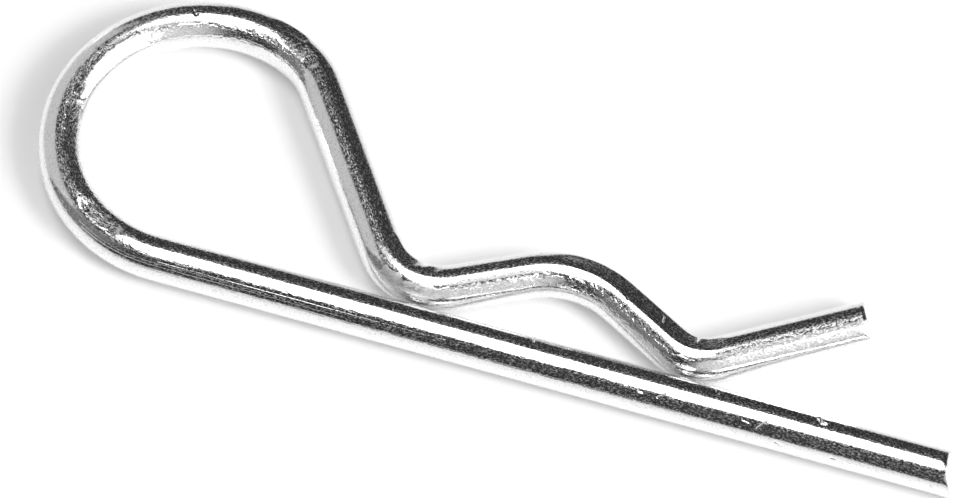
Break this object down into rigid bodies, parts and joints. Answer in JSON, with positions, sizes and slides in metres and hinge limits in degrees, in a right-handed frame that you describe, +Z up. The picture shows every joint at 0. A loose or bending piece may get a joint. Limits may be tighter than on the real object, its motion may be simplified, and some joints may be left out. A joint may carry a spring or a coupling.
{
  "type": "hitch r clip pin",
  "caption": "Spring wire R-shaped retaining clip: a straight leg for a cross-hole, a round eye to pull, and a humped arm that snaps round the outside of a shaft.",
  "frame": {"origin": "centre of the clip's flat outline, on the surface that it lies on", "axes": "+X along the straight leg to its free end, +Y across the clip from the leg to the humped arm, +Z up, square to the plane that the wire is bent in"},
  "size_m": [0.0864, 0.0282, 0.004],
  "materials": {
    "wire": "bright zinc plated spring steel wire, glossy, with fine drawing lines and bending marks"
  },
  "bodies": {
    "root": {"clip_wire": "wire"}
  },
  "joints": []
}
